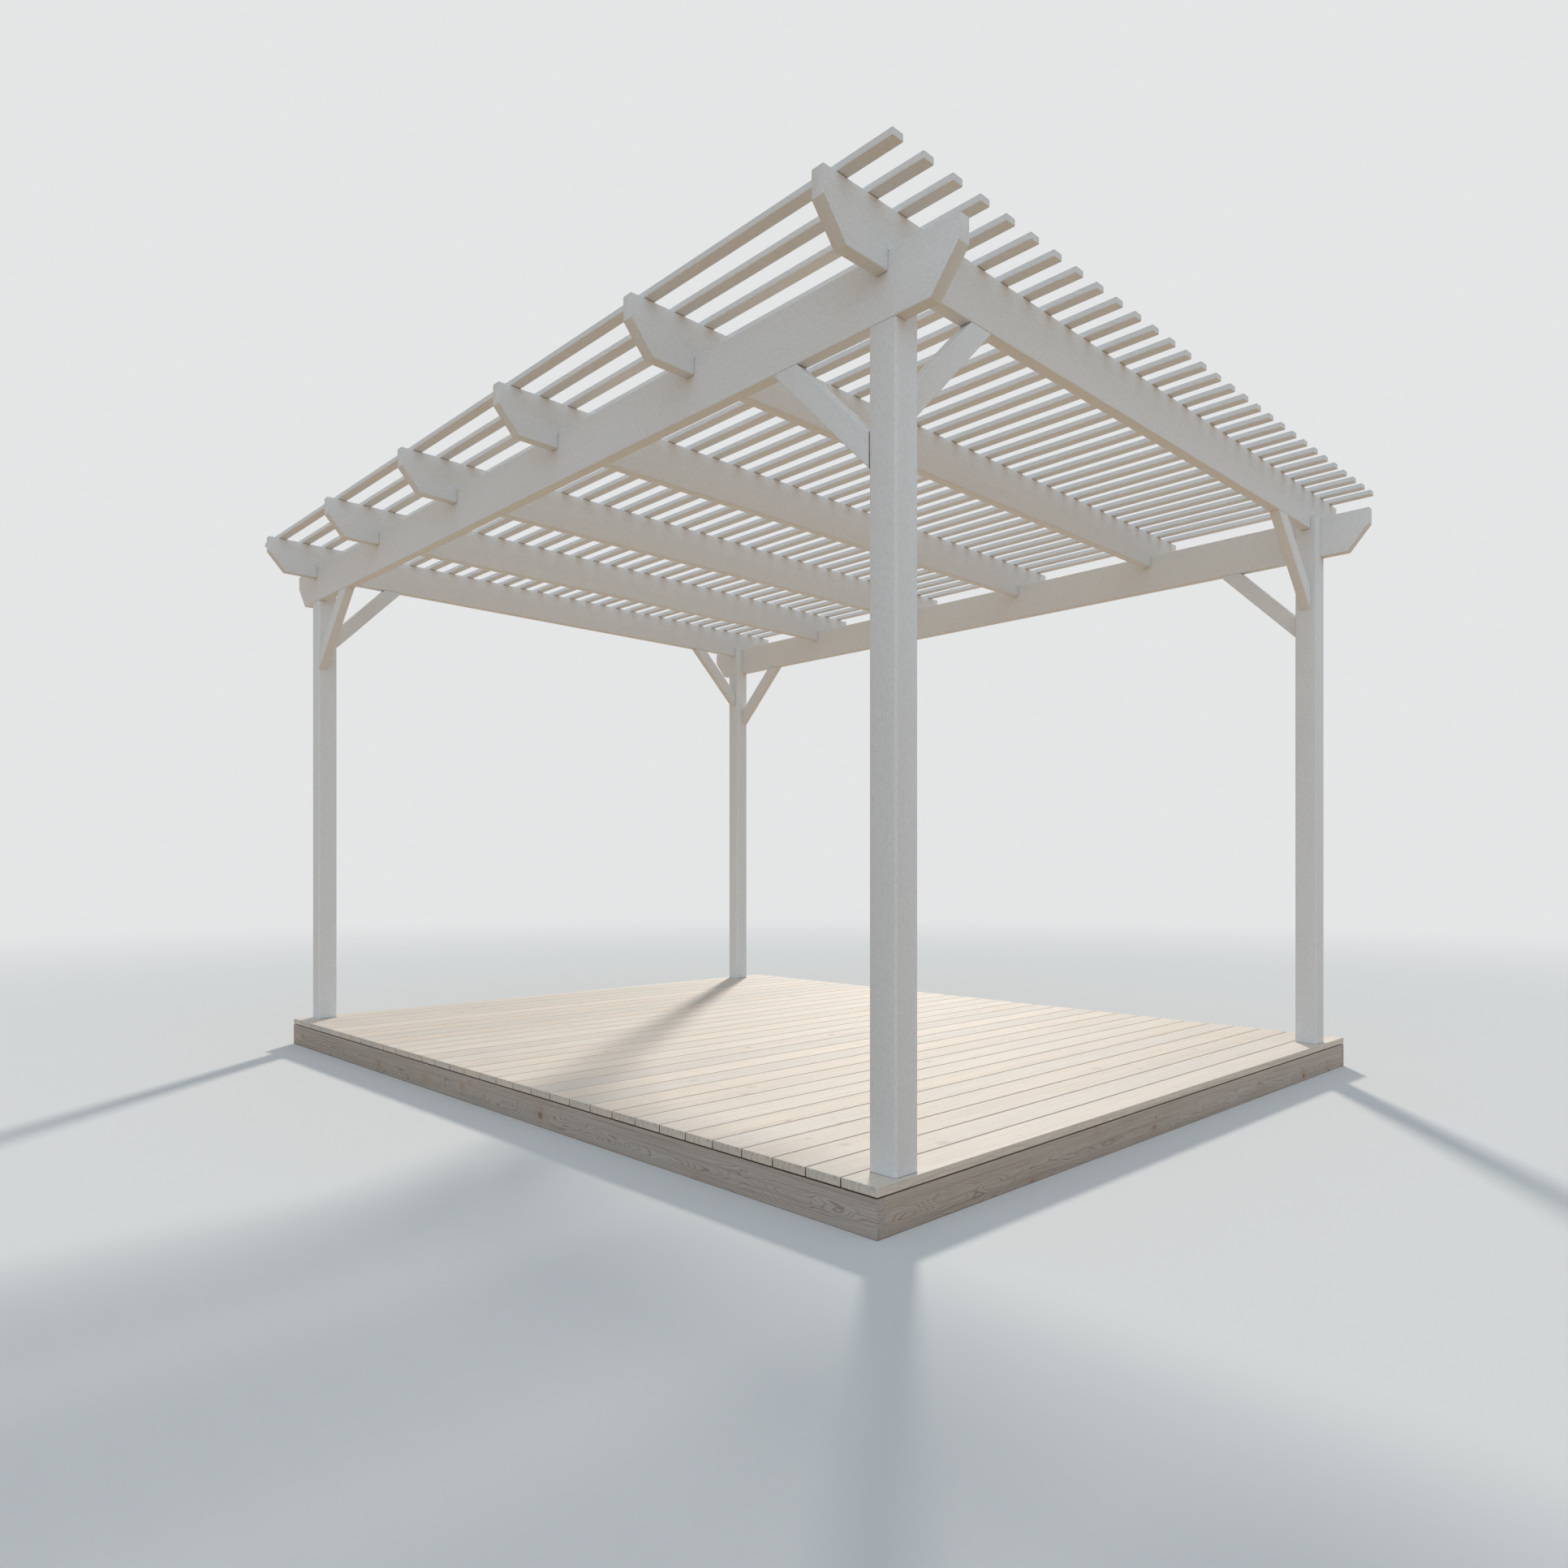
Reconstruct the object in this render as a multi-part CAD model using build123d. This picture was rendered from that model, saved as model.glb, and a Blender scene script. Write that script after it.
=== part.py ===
from build123d import *
import math
import os

# A timber garden pergola on a low timber deck.
# Lengths are in millimetres. +X runs along the two beams, +Y runs along the rafters from
# front to back, and +Z is up. The origin is on the ground, midway between the four posts.

# Posts: their spacing is from centre to centre
post_spacing_x = 4250.0
post_spacing_y = 3165.0
post_width = 100.0
post_chamfer = 6.5

# Beams, one along the front and one along the back
headroom = 2381.0
beam_depth = 192.0
beam_thickness = 45.0
beam_overhang = 214.0
beam_tail_run = 94.0
beam_tail_nose = 75.0

# Rafters, notched over the beams
rafter_count = 6
rafter_depth = 182.0
rafter_thickness = 45.0
rafter_overhang = 257.0
rafter_notch = 59.0
rafter_tail_run = 88.0
rafter_tail_nose = 80.0

# Slats, laid on the rafters
slat_count = 30
slat_width = 43.0
slat_height = 22.0
slat_overhang = 190.0
slat_inset_front = 51.0
slat_inset_back = 59.0

# Knee braces, set at 45 degrees
brace_leg = 395.0
brace_depth = 74.0
brace_thickness = 45.0

# The small chamfer that a planed timber has on its long edges
arris = 2.5

# Deck
deck_height = 143.0
floor_thickness = 28.0
floor_margin_side = 18.0
floor_margin_front = 98.0
floor_margin_back = 222.0
fascia_thickness = 28.0
fascia_gap = 4.0
joist_count = 9
joist_thickness = 45.0

# Levels
beam_bottom = deck_height + headroom
beam_top = beam_bottom + beam_depth
rafter_bottom = beam_top - rafter_notch
rafter_top = rafter_bottom + rafter_depth
joist_top = deck_height - floor_thickness

# Places across the plan
post_x = post_spacing_x / 2
post_y = post_spacing_y / 2
outer_x = post_x + post_width / 2
outer_y = post_y + post_width / 2
inner_x = post_x - post_width / 2
inner_y = post_y - post_width / 2
rafter_tip = outer_y + rafter_overhang
floor_front = -outer_y - floor_margin_front
floor_back = outer_y + floor_margin_back
floor_width = 2 * (outer_x + floor_margin_side)
floor_depth = floor_back - floor_front
floor_middle = (floor_front + floor_back) / 2

SIDES = {"left": -1, "right": 1}
ENDS = {"front": -1, "back": 1}
BASE = (Align.CENTER, Align.CENTER, Align.MIN)


def eased(timber, axis, size=arris):
    """Takes the sharp edge off the long edges of a timber that runs along the axis."""
    return chamfer(timber.edges().filter_by(axis), size)


def tailed_outline(length, depth, run, nose):
    """The side of a timber with a flat top and, at each end, an upright nose over a raking cut."""
    half = length / 2
    underside = half - run
    return Polyline(
        (-underside, 0), (underside, 0),
        (half, depth - nose), (half, depth),
        (-half, depth), (-half, depth - nose),
        close=True,
    )


def post(end):
    """A square post whose head is housed on its outer side, so that the beam sits on a shoulder."""
    shaft = Box(post_width, post_width, beam_top - deck_height, align=BASE)
    shaft = eased(shaft, Axis.Z, post_chamfer)
    housing = Box(post_width, beam_thickness, beam_depth, align=BASE)
    housing_y = end * (post_width - beam_thickness) / 2
    return shaft - Pos(0, housing_y, headroom) * housing


def beam():
    """A beam that runs along X with its underside at Z = 0 and its middle at the origin."""
    outline = tailed_outline(2 * (outer_x + beam_overhang), beam_depth, beam_tail_run, beam_tail_nose)
    timber = extrude(Plane.XZ * make_face(outline), beam_thickness / 2, both=True)
    return eased(timber, Axis.X)


def rafter(seat_length):
    """A rafter that runs along Y, notched from below over each beam for the length of its seat."""
    outline = tailed_outline(2 * rafter_tip, rafter_depth, rafter_tail_run, rafter_tail_nose)
    timber = extrude(Plane.YZ * make_face(outline), rafter_thickness / 2, both=True)
    timber = eased(timber, Axis.Y)
    notch = Box(rafter_thickness, seat_length, rafter_notch, align=BASE)
    for end in ENDS.values():
        timber -= Pos(0, end * (outer_y - seat_length / 2), 0) * notch
    return timber


def brace():
    """A knee brace in the XZ plane, with its corner against an upright face at X = 0 below Z = 0."""
    cut = brace_depth * math.sqrt(2)
    upper_leg = brace_leg - cut
    outline = Polyline((0, -brace_leg), (brace_leg, 0), (upper_leg, 0), (0, -upper_leg), close=True)
    timber = extrude(Plane.XZ * make_face(outline), brace_thickness / 2, both=True)
    long_edges = timber.edges().sort_by(SortBy.LENGTH)[-4:]
    return chamfer(long_edges, arris)


def slats():
    """The roof's slats: separate timbers along X, evenly spaced between their front and back insets."""
    length = 2 * (post_x + rafter_thickness / 2 + slat_overhang)
    slat = eased(Box(length, slat_width, slat_height, align=BASE), Axis.X)
    first = -rafter_tip + slat_inset_front + slat_width / 2
    last = rafter_tip - slat_inset_back - slat_width / 2
    pitch = (last - first) / (slat_count - 1)
    return [Pos(0, first + index * pitch, rafter_top) * slat for index in range(slat_count)]


def floor():
    """The deck's floor, as one slab as thick as its boards."""
    slab = Box(floor_width, floor_depth, floor_thickness, align=BASE)
    slab = chamfer(slab.faces().sort_by(Axis.Z)[-1].edges(), arris)
    return Pos(0, floor_middle, joist_top) * slab


def end_fascia(end):
    """The edge board along the front or back of the deck, as long as the deck is wide."""
    board = Box(floor_width, fascia_thickness, joist_top - fascia_gap, align=BASE)
    board_y = floor_middle + end * (floor_depth - fascia_thickness) / 2
    return Pos(0, board_y, 0) * board


def side_fascia(side):
    """The edge board along one side of the deck, fitted between the front and back ones."""
    board = Box(fascia_thickness, floor_depth - 2 * fascia_thickness, joist_top - fascia_gap, align=BASE)
    board_x = side * (floor_width - fascia_thickness) / 2
    return Pos(board_x, floor_middle, 0) * board


def joists():
    """The joists under the floor, between the side fascias, the outer two against the end ones."""
    joist = Box(floor_width - 2 * fascia_thickness, joist_thickness, joist_top, align=BASE)
    first = floor_front + fascia_thickness + joist_thickness / 2
    last = floor_back - fascia_thickness - joist_thickness / 2
    spacing = (last - first) / (joist_count - 1)
    return [Pos(0, first + index * spacing, 0) * joist for index in range(joist_count)]


def rafter_places():
    """Each rafter's X position by name, from left to right, with the outer two over the posts."""
    spacing = post_spacing_x / (rafter_count - 1)
    return {f"rafter_{index + 1}": -post_x + index * spacing for index in range(rafter_count)}


def upper_parts():
    """The beams, rafters and slats, by node name."""
    parts = {}
    beam_y = outer_y - beam_thickness / 2
    for end_name, end in ENDS.items():
        parts[f"{end_name}_beam"] = Pos(0, end * beam_y, beam_bottom) * beam()
    for name, x in rafter_places().items():
        seat = post_width if abs(x) > inner_x else beam_thickness
        parts[name] = Pos(x, 0, rafter_bottom) * rafter(seat)
    parts["roof_slats"] = slats()
    return parts


def corner_parts():
    """The posts and their braces, by node name."""
    parts = {}
    beam_y = outer_y - beam_thickness / 2
    for end_name, end in ENDS.items():
        for side_name, side in SIDES.items():
            corner = f"{end_name}_{side_name}"
            parts[f"{corner}_post"] = Pos(side * post_x, end * post_y, deck_height) * post(end)
            inward_x = 180 if side > 0 else 0
            parts[f"{corner}_beam_brace"] = (
                Pos(side * inner_x, end * beam_y, beam_bottom) * Rot(0, 0, inward_x) * brace()
            )
            parts[f"{corner}_rafter_brace"] = (
                Pos(side * post_x, end * inner_y, rafter_bottom) * Rot(0, 0, -90 * end) * brace()
            )
    return parts


def deck_parts():
    """The deck's floor, fascias and joists, by node name."""
    parts = {"deck_floor": floor(), "deck_joists": joists()}
    for end_name, end in ENDS.items():
        parts[f"{end_name}_fascia"] = end_fascia(end)
    for side_name, side in SIDES.items():
        parts[f"{side_name}_fascia"] = side_fascia(side)
    return parts


def main():
    """Builds every part and writes each one to its own file."""
    os.makedirs("parts", exist_ok=True)
    for name, shape in {**deck_parts(), **corner_parts(), **upper_parts()}.items():
        if isinstance(shape, list):
            shape = Compound(children=shape)
        export_step(shape, os.path.join("parts", f"{name}.step"))


main()
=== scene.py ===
"""Dresses a white timber pergola that stands on a low deck of pale boards.

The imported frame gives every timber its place. The floor's boards and the roof's slats are laid out
here by node trees, and each timber gets a finish whose grain follows its own length.
"""

import logging
import math
from abc import ABC, abstractmethod
from dataclasses import dataclass, field
from enum import Enum

import bmesh
import bpy
from mathutils import Euler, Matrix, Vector


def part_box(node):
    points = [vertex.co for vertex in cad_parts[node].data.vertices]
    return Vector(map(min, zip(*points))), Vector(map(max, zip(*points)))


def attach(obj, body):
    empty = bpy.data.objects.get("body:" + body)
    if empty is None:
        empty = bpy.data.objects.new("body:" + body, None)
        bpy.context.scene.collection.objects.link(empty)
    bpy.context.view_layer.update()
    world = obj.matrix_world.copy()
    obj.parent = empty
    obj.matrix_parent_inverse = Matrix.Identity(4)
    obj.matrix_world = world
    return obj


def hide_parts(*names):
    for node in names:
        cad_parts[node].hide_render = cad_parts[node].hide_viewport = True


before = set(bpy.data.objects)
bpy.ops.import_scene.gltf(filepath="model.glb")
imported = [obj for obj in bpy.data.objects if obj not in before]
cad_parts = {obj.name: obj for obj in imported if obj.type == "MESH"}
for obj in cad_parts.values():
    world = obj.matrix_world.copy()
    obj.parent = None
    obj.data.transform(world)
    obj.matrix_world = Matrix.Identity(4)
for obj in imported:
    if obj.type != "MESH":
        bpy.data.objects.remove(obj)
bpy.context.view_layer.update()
BODY = "root"
MM = 0.001
NOISE_MIDDLE = (0.5, 0.5, 0.5)

log = logging.getLogger("pergola")

Socket = bpy.types.NodeSocket
Colour = tuple[float, float, float]


class Slot(Enum):
    """The record's material slots."""

    PAINTED = "painted_timber"
    DECK = "deck_timber"
    FRAME = "frame_timber"


class Lie(Enum):
    """How a timber lies, as the turn in degrees from the pattern's own axes.

    The pattern's X runs along the timber, its Y across the wide face and its Z through it.
    """

    ALONG_X_FLAT = (0, 0, 0)
    ALONG_X_ON_EDGE = (90, 0, 0)
    ALONG_Y_FLAT = (0, 0, 90)
    ALONG_Y_ON_EDGE = (90, 0, 90)
    UPRIGHT = (0, -90, 0)
    RISING_TO_RIGHT = (90, -45, 0)
    RISING_TO_LEFT = (90, 45, 0)
    RISING_TO_BACK = (90, -45, 90)
    RISING_TO_FRONT = (90, 45, 90)

    def turn(self) -> Euler:
        """The turn as Blender's Euler angles."""
        return Euler([math.radians(angle) for angle in self.value])


@dataclass(frozen=True)
class Band:
    """A range from low to high, which is carried smoothly onto the range from start to end."""

    low: float
    high: float
    start: float = 0.0
    end: float = 1.0

    @classmethod
    def around(cls, middle: float, play: float) -> "Band":
        """Carries the numbers from 0 to 1 onto those within the play of a middle value."""
        return cls(0.0, 1.0, middle - play, middle + play)


@dataclass(frozen=True)
class Spots:
    """The spots of a noise: their length and width in metres, and how many finer layers it has."""

    along: float
    across: float
    detail: float = 2.0


class Wiring:
    """Adds nodes to one tree and joins them.

    Args:
        tree: The shader or geometry tree that takes the nodes.
    """

    def __init__(self, tree: bpy.types.NodeTree) -> None:
        """Keeps the tree."""
        self.tree = tree

    def feed(self, socket: Socket, value: object) -> None:
        """Joins an output to an input, or sets the input's own value.

        Args:
            socket: The input.
            value: The output or the value.
        """
        if isinstance(value, bpy.types.NodeSocket):
            self.tree.links.new(value, socket)
        else:
            socket.default_value = value

    def node(self, kind: str, take: dict | None = None, **settings: object) -> bpy.types.Node:
        """Adds one node.

        Args:
            kind: The node's type name.
            take: What its inputs take, by the input's name or identifier: a value or an output.
            settings: The node's properties.

        Returns:
            The new node.
        """
        made = self.tree.nodes.new(kind)
        for name, value in settings.items():
            setattr(made, name, value)
        known = {socket.identifier: socket for socket in made.inputs}
        for name, value in (take or {}).items():
            self.feed(known[name] if name in known else made.inputs[name], value)
        return made

    def math(self, operation: str, *values: object) -> Socket:
        """Adds a Math node.

        Args:
            operation: What it does.
            values: What its inputs take, in their order.

        Returns:
            Its output.
        """
        made = self.node("ShaderNodeMath", operation=operation)
        for socket, value in zip(made.inputs, values):
            self.feed(socket, value)
        return made.outputs[0]

    def times(self, first: object, second: object) -> Socket:
        """Multiplies two numbers."""
        return self.math("MULTIPLY", first, second)

    def squared(self, value: object) -> Socket:
        """Multiplies a number by itself."""
        return self.math("POWER", value, 2.0)

    def plus(self, base: object, value: object, share: float) -> Socket:
        """Adds a share of a value to a base."""
        return self.math("MULTIPLY_ADD", value, share, base)

    def vector(self, operation: str, *values: object) -> Socket:
        """Adds a Vector Math node.

        Args:
            operation: What it does.
            values: What its inputs take, in their order.

        Returns:
            Its vector.
        """
        made = self.node("ShaderNodeVectorMath", operation=operation)
        for socket, value in zip(made.inputs, values):
            self.feed(socket, value)
        return made.outputs["Vector"]

    def parts(self, vector: Socket) -> tuple[Socket, Socket, Socket]:
        """Splits a vector into its three numbers."""
        outputs = self.node("ShaderNodeSeparateXYZ", {"Vector": vector}).outputs
        return outputs[0], outputs[1], outputs[2]

    def joined(self, x: object, y: object, z: object) -> Socket:
        """Makes a vector of three numbers."""
        return self.node("ShaderNodeCombineXYZ", {"X": x, "Y": y, "Z": z}).outputs[0]

    def ramp(self, value: object, band: Band) -> Socket:
        """Carries a number over a band.

        Args:
            value: The number.
            band: The range that it is in, and the one that it goes to.

        Returns:
            The number in the second range, which it never leaves.
        """
        take = {"Value": value, "From Min": band.low, "From Max": band.high}
        take.update({"To Min": band.start, "To Max": band.end})
        made = self.node("ShaderNodeMapRange", take, interpolation_type="SMOOTHSTEP")
        return made.outputs["Result"]

    def mix(self, share: object, first: object, second: object, blend_type: str = "MIX") -> Socket:
        """Mixes two colours.

        Args:
            share: How much of the second colour shows, from 0 to 1.
            first: The first colour.
            second: The second colour.
            blend_type: The way in which the second is laid on the first.

        Returns:
            The mixed colour.
        """
        take = {"Factor_Float": share}
        for name, value in (("A_Color", first), ("B_Color", second)):
            take[name] = value if isinstance(value, bpy.types.NodeSocket) else (*value, 1.0)
        made = self.node("ShaderNodeMix", take, data_type="RGBA", blend_type=blend_type)
        return next(socket for socket in made.outputs if socket.identifier == "Result_Color")

    def tint(self, colour: object, other: Colour, amount: Socket, share: float) -> Socket:
        """Lays a share of an amount of another colour on a colour."""
        return self.mix(self.times(amount, share), colour, other)

    def blend(self, share: Socket, first: Socket, second: Socket) -> Socket:
        """Mixes two shaders, where the share is how much of the second shows."""
        take = {"Fac": share, "Shader": first, "Shader_001": second}
        return self.node("ShaderNodeMixShader", take).outputs[0]

    def noise(self, place: Socket, spots: Spots, output: str = "Fac") -> Socket:
        """Adds a noise whose spots have a real size.

        Args:
            place: The point, in metres, with X along the timber.
            spots: The size of its spots.
            output: Which output to return.

        Returns:
            The noise, from 0 to 1.
        """
        pitch = (1 / spots.along, 1 / spots.across, 1 / spots.across)
        take = {"Vector": self.vector("MULTIPLY", place, pitch), "Scale": 1.0}
        made = self.node("ShaderNodeTexNoise", {**take, "Detail": spots.detail})
        return made.outputs[output]


def fresh_wiring(owner: bpy.types.Material | bpy.types.World) -> Wiring:
    """Takes the ready-made nodes off a material or a world.

    Args:
        owner: The material or world.

    Returns:
        The wiring of its empty tree.
    """
    owner.use_nodes = True
    owner.node_tree.nodes.clear()
    return Wiring(owner.node_tree)


def declare(tree: bpy.types.NodeTree, way: str, kinds: dict[str, str]) -> None:
    """Gives a node tree its inputs or outputs.

    Args:
        tree: The tree.
        way: INPUT or OUTPUT.
        kinds: The kind of each socket, by its name.
    """
    for name, kind in kinds.items():
        tree.interface.new_socket(name, in_out=way, socket_type=f"NodeSocket{kind}")


def new_object(name: str, data: bpy.types.ID) -> bpy.types.Object:
    """Puts an object into the scene.

    Args:
        name: The object's name.
        data: Its mesh, lamp or camera.

    Returns:
        The object, at the origin.
    """
    made = bpy.data.objects.new(name, data)
    bpy.context.scene.collection.objects.link(made)
    return made


@dataclass(frozen=True)
class Grown:
    """What the growth of the wood gives at a point: each is an output from 0 to 1."""

    late: Socket
    streak: Socket
    fibre: Socket
    knot: Socket
    halo: Socket
    seed: tuple[Socket, Socket, Socket]


@dataclass(frozen=True)
class Growth:
    """The rings and knots of the stem that a timber is cut from. Lengths are in metres.

    A knot's smallest and largest size are shares of knot_radius, and its edge and halo count in
    its own radius. As parts of one ring, the dark late wood rises from late_from to late_full and
    fades from late_end on. The swirl bends the rings round a knot, and the shifts set one timber's
    pattern apart from the next one's.
    """

    ring: float
    pith_across: float
    pith_depth: float
    pith_across_play: float = 0.035
    pith_depth_play: float = 0.25
    knot_along: float = 0.62
    knot_across: float = 0.10
    knot_deep: float = math.inf
    knot_scatter: float = 0.9
    knot_share: float = 0.5
    knot_radius: float = 9 * MM
    knot_smallest: float = 0.45
    knot_largest: float = 1.4
    knot_length: float = 1.25
    knot_ragged: float = 0.9
    knot_rags: Spots = Spots(0.008, 0.006)
    knot_edge: Band = Band(0.75, 1.6, 1.0, 0.0)
    knot_halo: Band = Band(1.0, 3.6, 1.0, 0.0)
    knot_heart: Band = Band(0.2, 1.0, 0.1, 1.0)
    swirl_length: float = 4.0
    swirl_fade: float = 0.28
    swirl_push: float = 1.5
    wander: float = 24 * MM
    wander_spots: Spots = Spots(0.9, 0.22)
    wave: float = 3.0 * MM
    wave_spots: Spots = Spots(0.09, 0.03, 3.0)
    pace_rate: float = 0.31
    pace_play: float = 1.6
    late_from: float = 0.45
    late_full: float = 0.86
    late_end: float = 0.88
    streaks: Spots = Spots(0.55, 0.007, 3.0)
    fibres: Spots = Spots(0.035, 1.1 * MM)
    shift_along: float = 47.0
    shift_across: float = 13.0
    shift_pace: float = 91.0

    def knots(self, wiring: Wiring, place: Socket) -> tuple[Socket, Socket, Socket, Socket]:
        """Adds the knots.

        Args:
            wiring: The tree to add to.
            place: The point in the pattern, in metres.

        Returns:
            The distance from the nearest knot as a share of its radius, how far its swirl pushes
            the rings aside in metres, whether the place has a knot at all, and how dark it is.
        """
        pitch = (self.knot_along, self.knot_across, self.knot_deep)
        cell = wiring.vector("MULTIPLY", place, tuple(1 / size for size in pitch))
        take = {"Vector": cell, "Scale": 1.0, "Randomness": self.knot_scatter}
        found = wiring.node("ShaderNodeTexVoronoi", take).outputs
        sizes = tuple(0.0 if math.isinf(size) else size for size in pitch)
        offset = wiring.vector("SUBTRACT", cell, found["Position"])
        along, across, deep = wiring.parts(wiring.vector("MULTIPLY", offset, sizes))
        chance, size, heart = wiring.parts(found["Color"])
        there = wiring.math("LESS_THAN", chance, self.knot_share)
        smallest = self.knot_radius * self.knot_smallest
        largest = self.knot_radius * self.knot_largest
        radius = wiring.ramp(size, Band(0.0, 1.0, smallest, largest))

        side = wiring.math("ADD", wiring.squared(across), wiring.squared(deep))
        shortened = wiring.squared(wiring.times(along, 1 / self.knot_length))
        distance = wiring.math("SQRT", wiring.math("ADD", shortened, side))
        share = wiring.math("DIVIDE", distance, radius)

        swirl_along = wiring.math("DIVIDE", wiring.squared(along), self.swirl_length**2)
        reach = wiring.math("ADD", swirl_along, side)
        swirl = wiring.math("DIVIDE", reach, wiring.squared(radius))
        fade = wiring.math("EXPONENT", wiring.times(swirl, -self.swirl_fade))
        push = wiring.times(wiring.times(fade, radius), wiring.times(there, self.swirl_push))
        return share, push, there, wiring.times(wiring.ramp(heart, self.knot_heart), there)

    def grow(self, wiring: Wiring, place: Socket, seed: Socket) -> Grown:
        """Adds the rings, streaks, fibres and knots.

        Args:
            wiring: The tree to add to.
            place: The point from the timber's middle, in metres, with X along the timber.
            seed: The timber's own number, from 0 to 1.

        Returns:
            The outputs of the pattern.
        """
        random = wiring.node("ShaderNodeTexWhiteNoise", {"W": seed}, noise_dimensions="1D")
        first, second, third = wiring.parts(random.outputs["Color"])
        shift_along = wiring.times(first, self.shift_along)
        shift = wiring.joined(shift_along, wiring.times(second, self.shift_across), third)
        shifted = wiring.vector("ADD", place, shift)
        knot_share, push, there, heart = self.knots(wiring, shifted)

        slow = wiring.noise(shifted, self.wander_spots, "Color")
        slow = wiring.vector("SUBTRACT", slow, NOISE_MIDDLE)
        slow = wiring.vector("MULTIPLY", slow, (2 * self.wander,) * 3)
        _, across, deep = wiring.parts(wiring.vector("ADD", place, slow))
        pith_across = wiring.ramp(second, Band.around(self.pith_across, self.pith_across_play))
        depth_play = self.pith_depth * self.pith_depth_play
        pith_depth = wiring.ramp(third, Band.around(self.pith_depth, depth_play))
        across = wiring.math("SUBTRACT", across, pith_across)
        deep = wiring.math("ADD", deep, pith_depth)
        squares = wiring.math("ADD", wiring.squared(across), wiring.squared(deep))
        radius = wiring.math("ADD", wiring.math("SQRT", squares), push)
        wave = wiring.noise(shifted, self.wave_spots)
        turns = wiring.math("DIVIDE", wiring.plus(radius, wave, 2 * self.wave), self.ring)
        pace_place = wiring.plus(wiring.times(first, self.shift_pace), turns, self.pace_rate)
        take = {"W": pace_place, "Scale": 1.0}
        pace = wiring.node("ShaderNodeTexNoise", take, noise_dimensions="1D")
        part = wiring.math("FRACT", wiring.plus(turns, pace.outputs["Fac"], self.pace_play))
        rise = wiring.ramp(part, Band(self.late_from, self.late_full))
        late = wiring.times(rise, wiring.ramp(part, Band(self.late_end, 1.0, 1.0, 0.0)))

        rags = wiring.noise(shifted, self.knot_rags)
        ragged = wiring.plus(knot_share, rags, self.knot_ragged)
        return Grown(
            knot=wiring.times(wiring.ramp(ragged, self.knot_edge), heart),
            halo=wiring.times(wiring.ramp(knot_share, self.knot_halo), there),
            late=late,
            streak=wiring.noise(shifted, self.streaks),
            fibre=wiring.noise(shifted, self.fibres),
            seed=(first, second, third),
        )


@dataclass(frozen=True)
class Surface:
    """What a finish gives the shader: its colour, its roughness and its relief in millimetres."""

    colour: Socket
    roughness: Socket
    relief: Socket


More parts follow.
